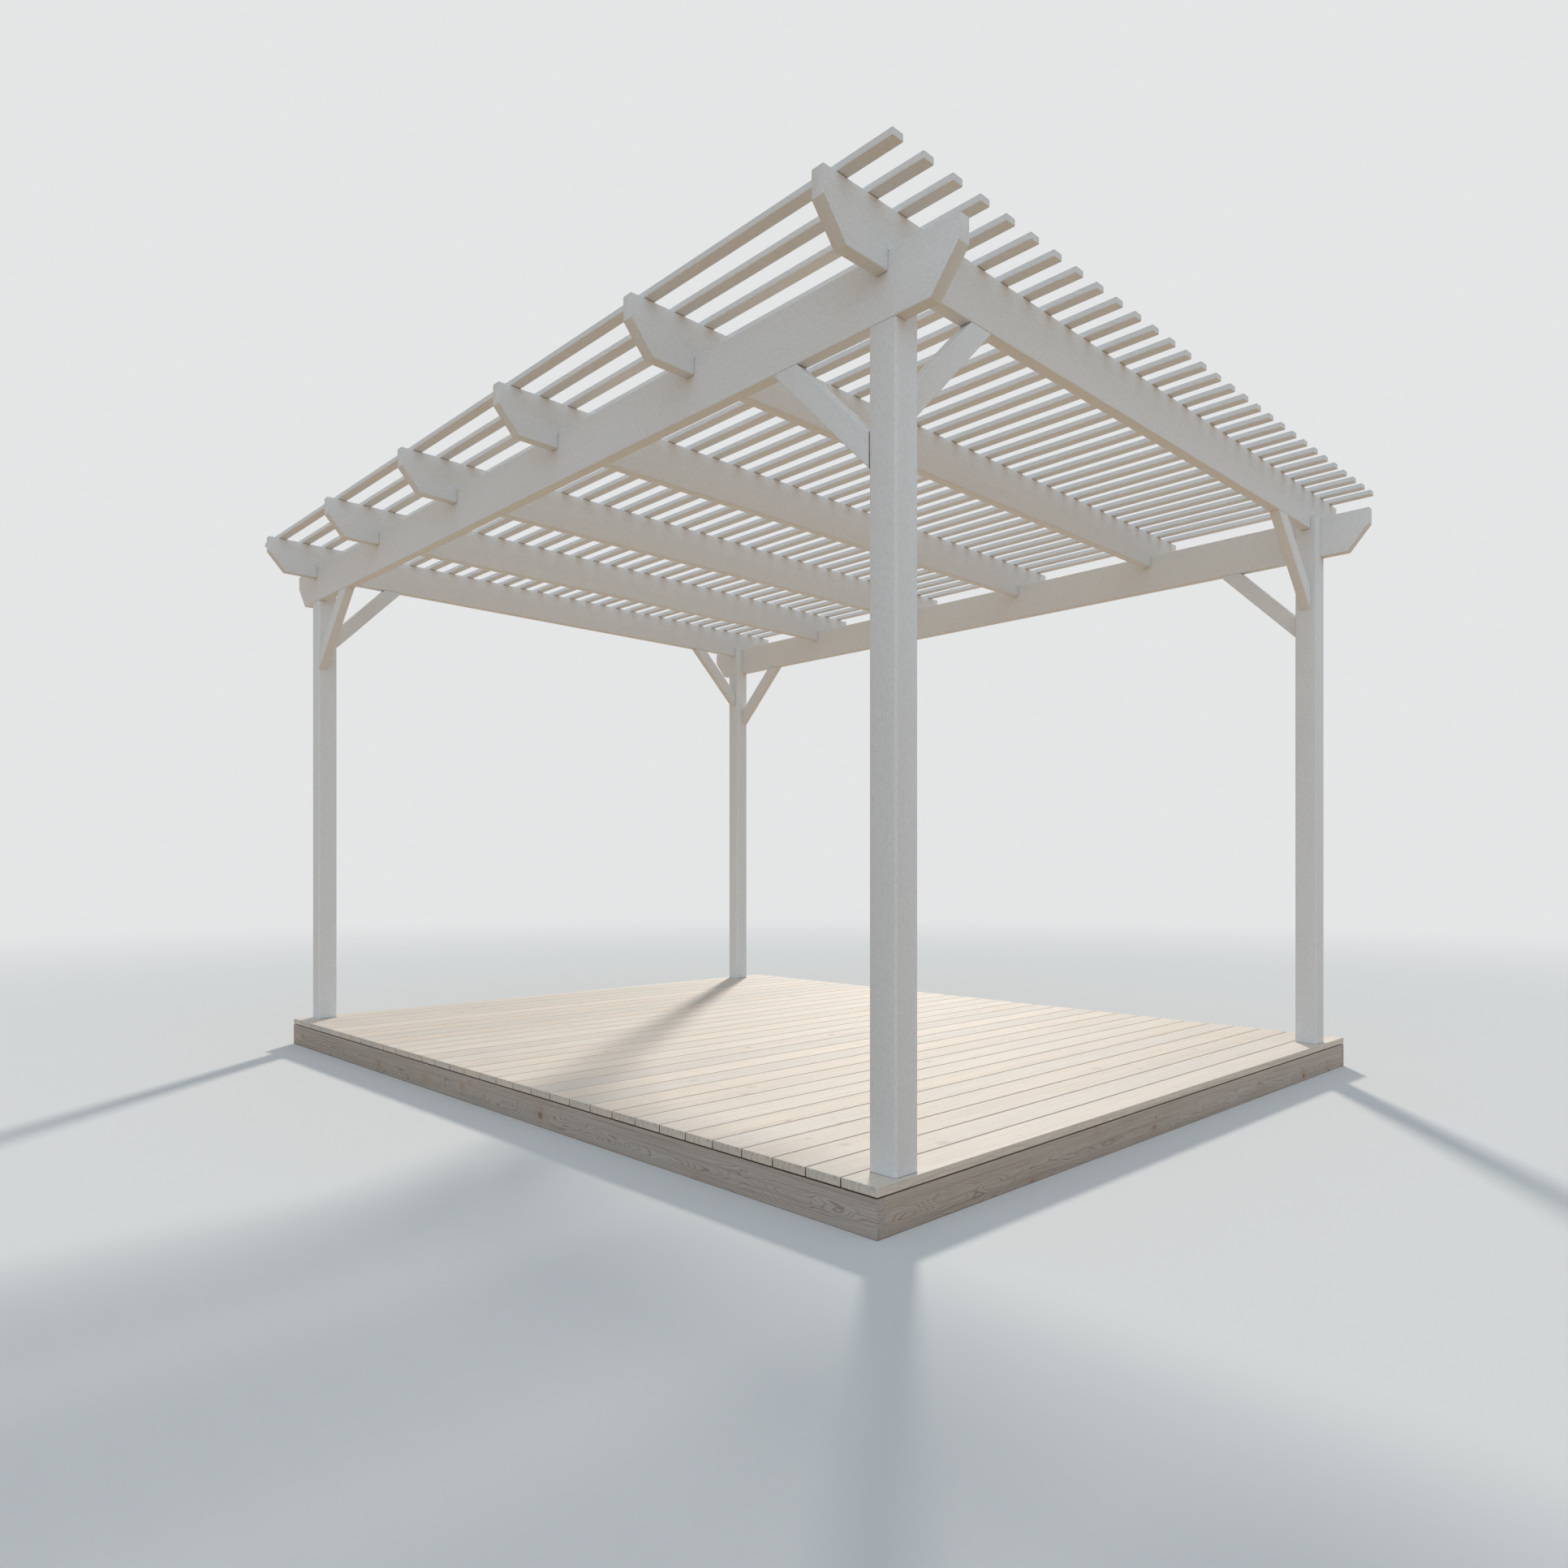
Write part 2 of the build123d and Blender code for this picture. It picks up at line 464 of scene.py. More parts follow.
@dataclass(frozen=True)
class Finish(ABC):
    """A timber's finish, as one group that every material of it shares.

    Its outer edges wear in patches, and its joints and creases are darkened with dust and painted
    shade where little round them is open. What edge_rays and the joints' band of rays read is how
    open a point lies, from 0 to 1.
    """

    name: str
    growth: Growth
    slot: Slot
    wear_reach: float
    wear_spots: Spots
    wear_patches: Band
    wear_share: float
    # Joints and creases take this colour as dust and painted shade, found by short occlusion rays.
    dust_and_shade: Colour
    dust_and_shade_reach: float
    dust_and_shade_share: float
    specular: float = 0.35
    rays: int = 8
    edge_rays: Band = Band(0.55, 0.95, 1.0, 0.0)
    # Band for the joints: how closed in a point must be before it gets painted shade and dust.
    joint_shade_rays: Band = Band(0.35, 0.85, 1.0, 0.0)
    end_facing: Band = Band(0.45, 0.62)

    @abstractmethod
    def paint(self, wiring: Wiring, place: Socket, facing: Socket, grown: Grown) -> Surface:
        """Adds the finish's own nodes, from the wood below it.

        Args:
            wiring: The tree to add to.
            place: The point from the timber's middle, in metres.
            facing: The way the surface faces, on the timber's own axes.
            grown: The wood's pattern.

        Returns:
            What the shader takes.
        """

    def end_grain(self, wiring: Wiring, facing: Socket) -> Socket:
        """How much a surface is cut across the grain, from 0 to 1."""
        along, _, _ = wiring.parts(facing)
        return wiring.ramp(wiring.math("ABSOLUTE", along), self.end_facing)

    def wear(self, wiring: Wiring, place: Socket) -> Socket:
        """Adds the wear of the timber's outer edges.

        Args:
            wiring: The tree to add to.
            place: The point from the timber's middle, in metres.

        Returns:
            How much of the worn colour shows, from 0 to 1.
        """
        take = {"Distance": self.wear_reach}
        settings = {"samples": self.rays, "inside": True, "only_local": True}
        rays = wiring.node("ShaderNodeAmbientOcclusion", take, **settings)
        edge = wiring.ramp(rays.outputs["AO"], self.edge_rays)
        patchy = wiring.ramp(wiring.noise(place, self.wear_spots), self.wear_patches)
        return wiring.times(wiring.times(edge, patchy), self.wear_share)

    def dusted_and_shaded(self, wiring: Wiring, colour: Socket) -> Socket:
        """Adds dust and painted shade where joints and creases are closed in.

        Args:
            wiring: The tree to add to.
            colour: The colour below the dust and painted shade.

        Returns:
            The colour with the dust and painted shade.
        """
        # Painted shade: occlusion rays darken the colour in creases and between parts, as dust would
        # too.
        take = {"Distance": self.dust_and_shade_reach}
        rays = wiring.node("ShaderNodeAmbientOcclusion", take, samples=self.rays)
        joint = wiring.ramp(rays.outputs["AO"], self.joint_shade_rays)
        return wiring.tint(colour, self.dust_and_shade, joint, self.dust_and_shade_share)

    def group(self) -> bpy.types.ShaderNodeTree:
        """Makes the finish's group once, for all its materials.

        Returns:
            The group.
        """
        known = bpy.data.node_groups.get(self.name)
        if known is not None:
            return known
        tree = bpy.data.node_groups.new(self.name, "ShaderNodeTree")
        declare(tree, "INPUT", {"Place": "Vector", "Facing": "Vector", "Seed": "Float"})
        declare(tree, "OUTPUT", {"Colour": "Color", "Roughness": "Float", "Relief": "Float"})
        wiring = Wiring(tree)
        given = wiring.node("NodeGroupInput").outputs
        grown = self.growth.grow(wiring, given["Place"], given["Seed"])
        made = self.paint(wiring, given["Place"], given["Facing"], grown)
        result = {"Colour": made.colour, "Roughness": made.roughness, "Relief": made.relief}
        wiring.node("NodeGroupOutput", result)
        return tree

    def material(
        self, name: str, lie: Lie, middle: Vector | None = None, seed: float = 0.0
    ) -> bpy.types.Material:
        """Makes the material of one timber, or of a row of timbers.

        Args:
            name: The material's name.
            lie: How the timber lies.
            middle: The timber's middle, or None where each timber of a row carries its own.
            seed: The timber's own number, for a single timber.

        Returns:
            The material.
        """
        made = bpy.data.materials.new(name)
        wiring = fresh_wiring(made)
        coordinates = wiring.node("ShaderNodeTexCoord").outputs
        place, own_seed = coordinates["Object"], seed
        if middle is None:
            own_middle = wiring.node("ShaderNodeAttribute", attribute_name=TimberRow.MIDDLE)
            place = wiring.vector("SUBTRACT", place, own_middle.outputs["Vector"])
            attribute = wiring.node("ShaderNodeAttribute", attribute_name=TimberRow.SEED)
            own_seed = attribute.outputs["Fac"]
        take = {"Vector": place, "Rotation": lie.turn(), "Location": middle or Vector()}
        placed = wiring.node("ShaderNodeMapping", take, vector_type="TEXTURE")
        take = {"Vector": coordinates["Normal"], "Rotation": lie.turn()}
        facing = wiring.node("ShaderNodeMapping", take, vector_type="TEXTURE")
        take = {"Place": placed.outputs[0], "Facing": facing.outputs[0], "Seed": own_seed}
        group = wiring.node("ShaderNodeGroup", take, node_tree=self.group()).outputs
        bump = wiring.node("ShaderNodeBump", {"Height": group["Relief"], "Distance": MM})
        take = {
            "Base Color": group["Colour"],
            "Roughness": group["Roughness"],
            "Normal": bump.outputs["Normal"],
            "Specular IOR Level": self.specular,
        }
        shader = wiring.node("ShaderNodeBsdfPrincipled", take)
        wiring.node("ShaderNodeOutputMaterial", {"Surface": shader.outputs["BSDF"]})
        return made


@dataclass(frozen=True)
class WhitePaint(Finish):
    """Satin white paint, brushed thin enough that the grain and a few knots show through.

    The fields ending in _tone shade its colour, and those ending in _relief are in millimetres.
    """

    white: Colour = (0.80, 0.80, 0.795)
    shade: Colour = (0.70, 0.695, 0.68)
    stain: Colour = (0.62, 0.56, 0.46)
    worn: Colour = (0.60, 0.575, 0.53)
    # Colour, reach and share of the dust and painted shade laid in creases and joints.
    dust_and_shade: Colour = (0.20, 0.165, 0.135)
    mottles: Spots = Spots(0.011, 0.006, 3.0)
    clouds: Spots = Spots(0.9, 0.25)
    strokes: Spots = Spots(0.28, 2.6 * MM)
    mottle_tone: float = 0.80
    cloud_tone: float = 0.16
    late_tone: float = 0.07
    stroke_tone: float = 0.02
    shading: Band = Band(0.28, 0.95)
    knot_share: float = 0.45
    end_share: float = 0.35
    wear_reach: float = 7 * MM
    wear_spots: Spots = Spots(0.05, 0.012, 3.0)
    wear_patches: Band = Band(0.42, 0.62)
    wear_share: float = 0.45
    dust_and_shade_reach: float = 5 * MM
    dust_and_shade_share: float = 0.40
    roughness: float = 0.52
    mottle_roughness: float = 0.14
    wear_roughness: float = 0.4
    fibre_relief: float = 0.02
    late_relief: float = 0.06
    stroke_relief: float = 0.02
    mottle_relief: float = 0.60
    knot_relief: float = 0.35

    def paint(self, wiring: Wiring, place: Socket, facing: Socket, grown: Grown) -> Surface:
        """Adds the paint's nodes over the wood.

        Args:
            wiring: The tree to add to.
            place: The point from the timber's middle, in metres.
            facing: The way the surface faces, on the timber's own axes.
            grown: The wood's pattern.

        Returns:
            What the shader takes.
        """
        mottle = wiring.noise(place, self.mottles)
        cloud = wiring.noise(place, self.clouds)
        stroke = wiring.noise(place, self.strokes)
        tone = wiring.plus(wiring.times(cloud, self.cloud_tone), mottle, self.mottle_tone)
        tone = wiring.plus(tone, grown.late, self.late_tone)
        tone = wiring.plus(tone, stroke, self.stroke_tone)
        colour = wiring.mix(wiring.ramp(tone, self.shading), self.white, self.shade)
        colour = wiring.tint(colour, self.stain, grown.knot, self.knot_share)
        end = self.end_grain(wiring, facing)
        colour = wiring.tint(colour, self.shade, end, self.end_share)
        wear = self.wear(wiring, place)
        # Worn edges, then dust and painted shade darkening the joints and creases.
        colour = self.dusted_and_shaded(wiring, wiring.mix(wear, colour, self.worn))

        roughness = wiring.plus(self.roughness, mottle, self.mottle_roughness)
        roughness = wiring.plus(roughness, wear, self.wear_roughness)

        relief = wiring.times(grown.fibre, self.fibre_relief)
        relief = wiring.plus(relief, grown.late, self.late_relief)
        relief = wiring.plus(relief, stroke, self.stroke_relief)
        relief = wiring.plus(relief, mottle, self.mottle_relief)
        relief = wiring.plus(relief, grown.knot, self.knot_relief)
        return Surface(colour, roughness, relief)


@dataclass(frozen=True)
class PalePine(Finish):
    """Bare planed pine, gone pale out of doors.

    Each timber is a little lighter or darker, by tone_play, and warmer or cooler, by hue_play. The
    fields ending in _relief are in millimetres.
    """

    early: Colour = (0.735, 0.640, 0.542)
    late: Colour = (0.385, 0.285, 0.200)
    red: Colour = (0.450, 0.310, 0.220)
    knot: Colour = (0.170, 0.105, 0.070)
    grey: Colour = (0.580, 0.555, 0.510)
    end_pale: Colour = (0.760, 0.700, 0.615)
    end_dark: Colour = (0.170, 0.120, 0.090)
    # Colour, reach and share of the dust and painted shade laid in creases and joints.
    dust_and_shade: Colour = (0.230, 0.115, 0.065)
    late_share: float = 0.60
    streak_share: float = 0.22
    fibre_share: float = 0.16
    halo_share: float = 0.38
    knot_share: float = 0.8
    tone_play: float = 0.06
    hue_play: float = 0.03
    blotches: Spots = Spots(0.35, 0.07, 3.0)
    blotch_late: Band = Band(0.25, 0.75, 0.35, 1.0)
    blotch_grey: Band = Band(0.45, 0.8, 0.0, 0.28)
    fibre_late: Band = Band(0.3, 0.65, 0.5, 1.0)
    fibre_lines: Band = Band(0.5, 0.75)
    streak_lines: Band = Band(0.42, 0.72)
    split_drift: float = 0.06
    splits: Spots = Spots(1.0, 2.6 * MM, 3.0)
    split_lines: Band = Band(0.53, 0.63)
    split_groups: Spots = Spots(1.0, 14 * MM)
    group_lines: Band = Band(0.35, 0.65, 0.25, 1.0)
    end_late: float = 0.35
    end_lines: float = 0.85
    wear_reach: float = 5 * MM
    wear_spots: Spots = Spots(0.07, 0.012, 3.0)
    wear_patches: Band = Band(0.35, 0.6)
    wear_share: float = 0.4
    dust_and_shade_reach: float = 9 * MM
    dust_and_shade_share: float = 0.70
    roughness: float = 0.68
    fibre_roughness: float = 0.12
    late_roughness: float = -0.12
    fibre_relief: float = 0.30
    late_relief: float = 0.22
    streak_relief: float = 0.35
    knot_relief: float = 0.25

    def end_colour(self, wiring: Wiring, place: Socket, grown: Grown) -> Socket:
        """Adds the rings and fine splits that show where the timber is cut across.

        Args:
            wiring: The tree to add to.
            place: The point from the timber's middle, in metres.
            grown: The wood's pattern.

        Returns:
            The colour of the end grain.
        """
        _, across, deep = wiring.parts(place)
        split_place = wiring.joined(0.0, across, wiring.times(deep, self.split_drift))
        split = wiring.ramp(wiring.noise(split_place, self.splits), self.split_lines)
        group = wiring.ramp(wiring.noise(split_place, self.split_groups), self.group_lines)
        rings = wiring.times(grown.late, self.end_late)
        lines = wiring.math("MAXIMUM", rings, wiring.times(split, group))
        return wiring.tint(self.end_pale, self.end_dark, lines, self.end_lines)

    def own_tint(self, wiring: Wiring, grown: Grown) -> Socket:
        """Adds the small difference between one timber and the next.

        Args:
            wiring: The tree to add to.
            grown: The wood's pattern.

        Returns:
            What the timber's colour is multiplied by.
        """
        _, own_tone, own_hue = grown.seed
        bright = wiring.ramp(own_tone, Band.around(1.0, self.tone_play))
        warm = wiring.ramp(own_hue, Band.around(1.0, self.hue_play))
        cool = wiring.math("DIVIDE", 1.0, warm)
        return wiring.joined(wiring.times(bright, warm), bright, wiring.times(bright, cool))

    def paint(self, wiring: Wiring, place: Socket, facing: Socket, grown: Grown) -> Surface:
        """Adds the bare wood's nodes.

        Args:
            wiring: The tree to add to.
            place: The point from the timber's middle, in metres.
            facing: The way the surface faces, on the timber's own axes.
            grown: The wood's pattern.

        Returns:
            What the shader takes.
        """
        blotch = wiring.noise(place, self.blotches)
        late = wiring.times(grown.late, wiring.ramp(blotch, self.blotch_late))
        late = wiring.times(late, wiring.ramp(grown.fibre, self.fibre_late))
        colour = wiring.tint(self.early, self.late, late, self.late_share)
        streak = wiring.ramp(grown.streak, self.streak_lines)
        colour = wiring.tint(colour, self.late, streak, self.streak_share)
        fibre = wiring.ramp(grown.fibre, self.fibre_lines)
        colour = wiring.tint(colour, self.late, fibre, self.fibre_share)
        colour = wiring.mix(wiring.ramp(blotch, self.blotch_grey), colour, self.grey)
        colour = wiring.tint(colour, self.red, grown.halo, self.halo_share)
        colour = wiring.tint(colour, self.knot, grown.knot, self.knot_share)
        end = self.end_grain(wiring, facing)
        colour = wiring.mix(end, colour, self.end_colour(wiring, place, grown))
        colour = wiring.mix(1.0, colour, self.own_tint(wiring, grown), "MULTIPLY")
        wear = self.wear(wiring, place)
        # Worn edges, then dust and painted shade darkening the joints and creases.
        colour = self.dusted_and_shaded(wiring, wiring.mix(wear, colour, self.early))

        roughness = wiring.plus(self.roughness, grown.fibre, self.fibre_roughness)
        roughness = wiring.plus(roughness, late, self.late_roughness)

        relief = wiring.times(grown.fibre, self.fibre_relief)
        relief = wiring.plus(relief, late, self.late_relief)
        relief = wiring.plus(relief, grown.streak, self.streak_relief)
        relief = wiring.plus(relief, grown.knot, self.knot_relief)
        return Surface(colour, roughness, relief)


PAINTED = WhitePaint(
    "white_paint",
    Growth(
        ring=5.5 * MM,
        pith_across=0.0,
        pith_depth=0.07,
        knot_deep=0.10,
        knot_share=0.4,
        knot_radius=8 * MM,
    ),
    Slot.PAINTED,
)
FLOOR_PINE = PalePine(
    "floor_pine",
    Growth(
        ring=4.0 * MM,
        pith_across=0.20,
        pith_depth=0.05,
        knot_share=0.22,
        knot_radius=7 * MM,
        wander=10 * MM,
    ),
    Slot.DECK,
    late_share=0.58,
    streak_share=0.32,
)
FASCIA_PINE = PalePine(
    "fascia_pine",
    Growth(
        ring=2.3 * MM,
        pith_across=0.0,
        pith_depth=0.042,
        knot_along=0.48,
        knot_share=0.65,
        knot_radius=12 * MM,
        wander=20 * MM,
        wander_spots=Spots(0.55, 0.12),
        wave=6.0 * MM,
        wave_spots=Spots(0.17, 0.03, 1.0),
        late_from=0.60,
    ),
    Slot.DECK,
    early=(0.515, 0.460, 0.408),
    late=(0.225, 0.140, 0.100),
    end_pale=(0.465, 0.414, 0.366),
    late_share=1.0,
    streak_share=0.34,
)
SAWN_PINE = PalePine(
    "sawn_pine",
    Growth(ring=5.0 * MM, pith_across=0.01, pith_depth=0.05, knot_share=0.6),
    Slot.FRAME,
    early=(0.55, 0.46, 0.35),
    late=(0.40, 0.30, 0.20),
)


def plain_mesh(holder: bpy.types.Object, name: str) -> bpy.types.Object:
    """Turns an object's modifiers into a plain mesh on a new object, and removes the old one.

    Args:
        holder: The object with the modifiers.
        name: The new object's name.

    Returns:
        The new object, at the origin.
    """
    graph = bpy.context.evaluated_depsgraph_get()
    mesh = bpy.data.meshes.new_from_object(holder.evaluated_get(graph), depsgraph=graph)
    bpy.data.objects.remove(holder)
    mesh.name = name
    return new_object(name, mesh)


def ease_edges(
    holder: bpy.types.Object, width: float, segments: int, sharper_than: float = 30.0
) -> None:
    """Adds a modifier that rounds an object's edges.

    Args:
        holder: The object.
        width: How far the rounding reaches from the edge, in metres.
        segments: How many faces go round it.
        sharper_than: The least turn in degrees of an edge that is rounded.
    """
    ease = holder.modifiers.new("ease", "BEVEL")
    ease.width = width
    ease.segments = segments
    ease.limit_method = "ANGLE"
    ease.angle_limit = math.radians(sharper_than)
    ease.harden_normals = True


@dataclass(frozen=True)
class TimberRow:
    """A row of like timbers, laid out by a node tree. Lengths are in metres."""

    MIDDLE = "timber_middle"
    SEED = "timber_seed"
    INPUTS = {
        "Count": "Int",
        "First": "Vector",
        "Step": "Vector",
        "Size": "Vector",
        "End Play": "Vector",
        "Cut": "Vector",
        "Seed": "Int",
        "Material": "Material",
    }

    name: str
    count: int
    first: Vector
    step: Vector
    size: Vector
    end_play: Vector
    cut: Vector
    easing: float
    seed: int
    segments: int = 3

    def mark(self, wiring: Wiring, row: Socket, name: str, kind: str, value: Socket) -> Socket:
        """Stores a value on each timber of a row.

        Args:
            wiring: The tree to add to.
            row: The timbers.
            name: The name under which the value is stored.
            kind: What kind of value it is.
            value: The value.

        Returns:
            The timbers with their values.
        """
        take = {"Geometry": row, "Name": name, "Value": value}
        settings = {"data_type": kind, "domain": "INSTANCE"}
        return wiring.node("GeometryNodeStoreNamedAttribute", take, **settings).outputs[0]

    def tree(self) -> bpy.types.GeometryNodeTree:
        """Makes the node tree that lays out the row, with named inputs for its sizes.

        Returns:
            The tree.
        """
        tree = bpy.data.node_groups.new(f"{self.name}_row", "GeometryNodeTree")
        declare(tree, "INPUT", self.INPUTS)
        declare(tree, "OUTPUT", {"Row": "Geometry"})
        wiring = Wiring(tree)
        given = wiring.node("NodeGroupInput").outputs
        take = {"Count": given["Count"], "Start Location": given["First"], "Offset": given["Step"]}
        places = wiring.node("GeometryNodeMeshLine", take, mode="OFFSET")
        timber = wiring.node("GeometryNodeMeshCube", {"Size": given["Size"]})
        seed = {"Seed": given["Seed"]}
        play = wiring.node("FunctionNodeRandomValue", seed, data_type="FLOAT_VECTOR")
        shorter = wiring.vector("MULTIPLY", play.outputs[0], given["End Play"])
        scale = wiring.vector("SUBTRACT", (1.0, 1.0, 1.0), shorter)
        take = {"Points": places.outputs[0], "Instance": timber.outputs[0], "Scale": scale}
        row = wiring.node("GeometryNodeInstanceOnPoints", take).outputs[0]
        middle = wiring.node("GeometryNodeInputPosition").outputs[0]
        row = self.mark(wiring, row, self.MIDDLE, "FLOAT_VECTOR", middle)
        number = wiring.node("FunctionNodeRandomValue", seed, data_type="FLOAT")
        own_seed = next(socket for socket in number.outputs if socket.enabled)
        row = self.mark(wiring, row, self.SEED, "FLOAT", own_seed)
        smooth = wiring.node("GeometryNodeSetShadeSmooth", {"Geometry": row})
        solid = wiring.node("GeometryNodeRealizeInstances", {"Geometry": smooth.outputs[0]})
        place = wiring.node("GeometryNodeInputPosition").outputs[0]
        ripped = wiring.vector("MAXIMUM", place, given["Cut"])
        take = {"Geometry": solid.outputs[0], "Position": ripped}
        row = wiring.node("GeometryNodeSetPosition", take).outputs[0]
        take = {"Geometry": row, "Material": given["Material"]}
        row = wiring.node("GeometryNodeSetMaterial", take).outputs[0]
        wiring.node("NodeGroupOutput", {"Row": row})
        return tree

    def make(self, material: bpy.types.Material) -> bpy.types.Object:
        """Builds the row as one plain mesh.

        Args:
            material: The row's material.

        Returns:
            The row's object, at the origin.
        """
        name = f"{self.name}_layout"
        holder = new_object(name, bpy.data.meshes.new(name))
        layout = holder.modifiers.new("layout", "NODES")
        layout.node_group = self.tree()
        values = {
            "Count": self.count,
            "First": self.first,
            "Step": self.step,
            "Size": self.size,
            "End Play": self.end_play,
            "Cut": self.cut,
            "Seed": self.seed,
            "Material": material,
        }
        for item in layout.node_group.interface.items_tree:
            if item.in_out == "INPUT":
                layout[item.identifier] = values[item.name]
        ease_edges(holder, self.easing, self.segments)
        return plain_mesh(holder, self.name)


class SubAssembly(ABC):
    """A group of timbers that is built and dressed together.

    A frame timber's copy has points nearer than MERGE joined, and faces that turn less than FLAT
    degrees made one, before its edges are eased.
    """

    EASING = 0.9 * MM
    SEGMENTS = 2
    MERGE = 0.01 * MM
    FLAT = 0.5

    @abstractmethod
    def dress(self) -> list[bpy.types.Object]:
        """Builds what the frame lacks and gives every timber its finish.

        Returns:
            The pieces.
        """

    def planed(self, name: str) -> bpy.types.Object:
        """Copies a timber of the frame and takes the last sharpness off its edges.

        Args:
            name: The timber's name in the frame.

        Returns:
            The new object, which stands in the timber's place.
        """
        work = bmesh.new()
        work.from_mesh(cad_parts[name].data)
        bmesh.ops.remove_doubles(work, verts=work.verts, dist=self.MERGE)
        flat = math.radians(self.FLAT)
        bmesh.ops.dissolve_limit(work, angle_limit=flat, verts=work.verts, edges=work.edges)
        for face in work.faces:
            face.smooth = True
        mesh = bpy.data.meshes.new(f"{name}_planed")
        work.to_mesh(mesh)
        work.free()
        holder = new_object(f"{name}_copy", mesh)
        ease_edges(holder, self.EASING, self.SEGMENTS)
        made = plain_mesh(holder, f"{name}_planed")
        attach(made, BODY)
        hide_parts(name)
        return made

    def finish_node(self, name: str, finish: Finish, lie: Lie) -> bpy.types.Object:
        """Eases one timber of the frame and gives it its finish.

        Args:
            name: The timber's name in the frame.
            finish: Its finish.
            lie: How it lies.

        Returns:
            The timber's object.
        """
        low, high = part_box(name)
        seed = sorted(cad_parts).index(name) / len(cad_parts)
        piece = self.planed(name)
        piece.data.materials.clear()
        piece.data.materials.append(finish.material(name, lie, (low + high) / 2, seed))
        return piece


@dataclass
class Floor(SubAssembly):
    """The deck's floor: boards side by side from front to back, with open joints."""

    node: str = "deck_floor"
    boards: int = 32
    pitch: float = 137.7 * MM
    joint: float = 4.6 * MM
    easing: float = 2.6 * MM
    end_play: float = 0.4 * MM
    seed: int = 3

    def dress(self) -> list[bpy.types.Object]:
        """Lays the boards from the right over the floor's own solid, and rips the last one to fit.

        Returns:
            The boards, as one piece.
        """
        low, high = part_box(self.node)
        size = high - low
        width = self.pitch - self.joint
        middle = (low + high) / 2
        row = TimberRow(
            name="floor_boards",
            count=self.boards,
            first=Vector((high.x - width / 2, middle.y, middle.z)),
            step=Vector((-self.pitch, 0, 0)),
            size=Vector((width, size.y, size.z)),
            end_play=Vector((0, 2 * self.end_play / size.y, 0)),
            cut=low,
            easing=self.easing,
            seed=self.seed,
        )
        boards = row.make(FLOOR_PINE.material("floor_boards", Lie.ALONG_Y_FLAT))
        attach(boards, BODY)
        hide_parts(self.node)
        return [boards]


@dataclass
class Roof(SubAssembly):
    """The roof's slats, evenly spaced over the rafters."""

    node: str = "roof_slats"
    slats: int = 30
    width: float = 43 * MM
    easing: float = 2.6 * MM
    end_play: float = 0.3 * MM
    seed: int = 5

    def dress(self) -> list[bpy.types.Object]:
        """Lays the slats in the places of the roof's own solids.

        Returns:
            The slats, as one piece.
        """
        low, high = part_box(self.node)
        size = high - low
        middle = (low + high) / 2
        row = TimberRow(
            name="slats",
            count=self.slats,
            first=Vector((middle.x, low.y + self.width / 2, middle.z)),
            step=Vector((0, (size.y - self.width) / (self.slats - 1), 0)),
            size=Vector((size.x, self.width, size.z)),
            end_play=Vector((2 * self.end_play / size.x, 0, 0)),
            cut=low,
            easing=self.easing,
            seed=self.seed,
        )
        slats = row.make(PAINTED.material("slats", Lie.ALONG_X_FLAT))
        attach(slats, BODY)
        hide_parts(self.node)
        return [slats]


@dataclass
class Timbers(SubAssembly):
    """Timbers of the frame that keep their own shape and share one finish."""

    finish: Finish
    lies: dict[str, Lie]

    def dress(self) -> list[bpy.types.Object]:
        """Gives each timber its finish."""
        return [self.finish_node(name, self.finish, lie) for name, lie in self.lies.items()]


def corner_names(part: str) -> list[str]:
    """The names of a part that stands at each corner, left before right and front before back."""
    return [f"{end}_{side}_{part}" for end in ("front", "back") for side in ("left", "right")]


def posts() -> Timbers:
    """The four posts."""
    return Timbers(PAINTED, {name: Lie.UPRIGHT for name in corner_names("post")})


def beams() -> Timbers:
    """The two beams."""
    return Timbers(PAINTED, {f"{end}_beam": Lie.ALONG_X_ON_EDGE for end in ("front", "back")})


def rafters() -> Timbers:
    """The six rafters."""
    names = [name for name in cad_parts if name.startswith("rafter_")]
    return Timbers(PAINTED, {name: Lie.ALONG_Y_ON_EDGE for name in sorted(names)})


def braces() -> Timbers:
    """Says how the knee braces rise from their posts.

    Returns:
        The eight braces.
    """
    lies = {}
    for name in corner_names("beam_brace"):
        lies[name] = Lie.RISING_TO_RIGHT if "left" in name else Lie.RISING_TO_LEFT
    for name in corner_names("rafter_brace"):
        lies[name] = Lie.RISING_TO_BACK if "front" in name else Lie.RISING_TO_FRONT
    return Timbers(PAINTED, lies)


def fascias() -> Timbers:
    """Says how the boards lie that close the deck's edges.

    Returns:
        The four boards.
    """
    lies = {f"{end}_fascia": Lie.ALONG_X_ON_EDGE for end in ("front", "back")}
    lies.update({f"{side}_fascia": Lie.ALONG_Y_ON_EDGE for side in ("left", "right")})
    return Timbers(FASCIA_PINE, lies)


def joists() -> Timbers:
    """The joists below the floor."""
    return Timbers(SAWN_PINE, {"deck_joists": Lie.ALONG_X_ON_EDGE})


